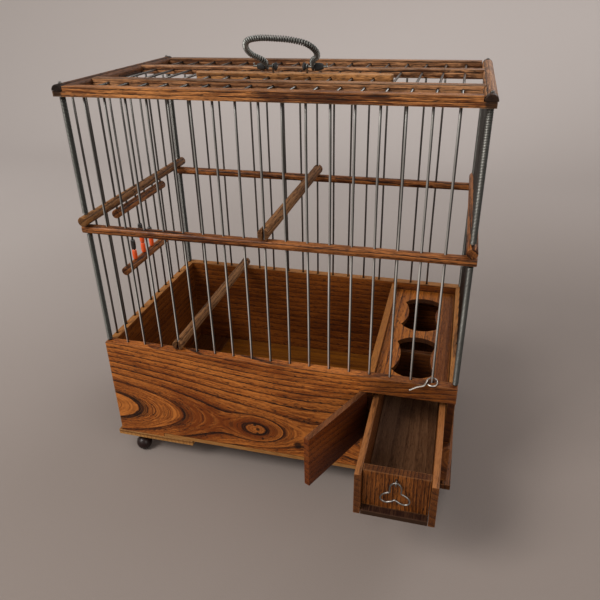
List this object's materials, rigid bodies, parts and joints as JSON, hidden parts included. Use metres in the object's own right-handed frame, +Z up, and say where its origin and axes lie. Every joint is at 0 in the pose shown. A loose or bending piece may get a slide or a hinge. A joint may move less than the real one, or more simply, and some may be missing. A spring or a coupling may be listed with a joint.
{
  "type": "bird breeding cage",
  "caption": "Small wooden bird breeding cage with wire walls, feed drawer, sliding floor tray, lift-up side door, perches and a sprung carrying handle.",
  "frame": {"origin": "middle of the bounding box's underside, with the feed drawer drawn out as it stands; the foot soles stand on z = 0", "axes": "+X to the cage's right, +Y to its back, +Z up; the front board and feed drawer face -Y"},
  "size_m": [0.302, 0.262, 0.357],
  "materials": {
    "oak": "orange-brown varnished oak with strong dark grain",
    "dark_oak": "thinly stained, plain brown",
    "pale_wood": "light varnished softwood",
    "perch_wood": "raw grey-brown dowel",
    "foot_stain": "near-black gloss stain on turned wood",
    "steel": "drawn steel wire, slightly dulled",
    "rubber": "matt black",
    "bead_orange": "glossy orange-red",
    "bead_black": "glossy black"
  },
  "bodies": {
    "cage": {"front_board": "oak", "back_board": "oak", "left_board": "oak", "right_board": "oak", "foot_board_left": "pale_wood", "foot_board_right": "pale_wood", "tray_guide": "dark_oak", "feeder_partition": "oak", "feeder_lid": "oak", "drawer_shelf": "dark_oak", "front_grid": "steel", "back_grid": "steel", "left_grid": "steel", "right_grid": "steel", "front_top_rail": "oak", "back_top_rail": "oak", "left_top_rail": "oak", "right_top_rail": "oak", "front_cross_rail": "oak", "top_grid": "steel", "handle_board": "pale_wood", "door_pin_top": "steel", "door_pin_bottom": "steel", "side_door_lintel": "oak", "handle_pivot_left": "steel", "handle_pivot_right": "steel", "grommet_inner_left": "rubber", "grommet_inner_right": "rubber", "grommet_outer_left": "rubber", "grommet_outer_right": "rubber", "corner_post_front_left": "steel", "corner_post_back_left": "steel", "corner_post_front_right": "steel", "corner_post_back_right": "steel", "foot_front_left": "foot_stain", "foot_back_left": "foot_stain", "foot_front_right": "foot_stain", "foot_back_right": "foot_stain"},
    "floor_tray": {"floor_tray": "dark_oak"},
    "drawer": {"drawer_left_side": "oak", "drawer_right_side": "oak", "drawer_front": "oak", "drawer_back": "oak", "drawer_floor": "oak", "drawer_pull_eye": "steel"},
    "drawer_pull": {"drawer_pull": "steel"},
    "feeder_door": {"feeder_door": "oak"},
    "latch": {"latch_hook": "steel"},
    "side_door": {"side_door": "steel", "bead_orange_2_1": "bead_orange", "bead_black_2_2": "bead_black", "bead_orange_3_1": "bead_orange", "bead_orange_3_2": "bead_orange", "bead_black_3_3": "bead_black", "bead_orange_4_1": "bead_orange", "bead_black_4_2": "bead_black"},
    "upper_perch": {"upper_perch": "perch_wood"},
    "lower_perch": {"lower_perch": "perch_wood"},
    "handle": {"handle_wire": "steel", "handle_spring": "steel"}
  },
  "joints": [
    {"name": "floor_tray_slide", "type": "slide", "parent": "cage", "child": "floor_tray", "axis": [0, -1, 0], "range_m": [0, 0.15]},
    {"name": "drawer_slide", "type": "slide", "parent": "cage", "child": "drawer", "axis": [0, -1, 0], "range_m": [-0.0875, 0.045]},
    {"name": "drawer_pull_swing", "type": "hinge", "parent": "drawer", "child": "drawer_pull", "pos_m": [0.112, -0.1283, 0.0937], "axis": [-1, 0, 0], "range_deg": [-4, 95]},
    {"name": "feeder_door_hinge", "type": "hinge", "parent": "cage", "child": "feeder_door", "pos_m": [0.0759, -0.0487, 0.084], "axis": [0, 0, 1], "range_deg": [0, 27]},
    {"name": "latch_turn", "type": "hinge", "parent": "cage", "child": "latch", "pos_m": [0.128, -0.0447, 0.121], "axis": [0, 0, 1], "range_deg": [-8, 30]},
    {"name": "side_door_lift", "type": "slide", "parent": "cage", "child": "side_door", "axis": [0, 0, 1], "range_m": [0, 0.017]},
    {"name": "upper_perch_lift", "type": "slide", "parent": "cage", "child": "upper_perch", "axis": [0, 0, 1], "range_m": [0, 0.085]},
    {"name": "lower_perch_lift", "type": "slide", "parent": "cage", "child": "lower_perch", "axis": [0, 0, 1], "range_m": [0, 0.085]},
    {"name": "handle_swing", "type": "hinge", "parent": "cage", "child": "handle", "pos_m": [0, 0.0345, 0.3335], "axis": [1, 0, 0], "range_deg": [-140, 36]}
  ]
}
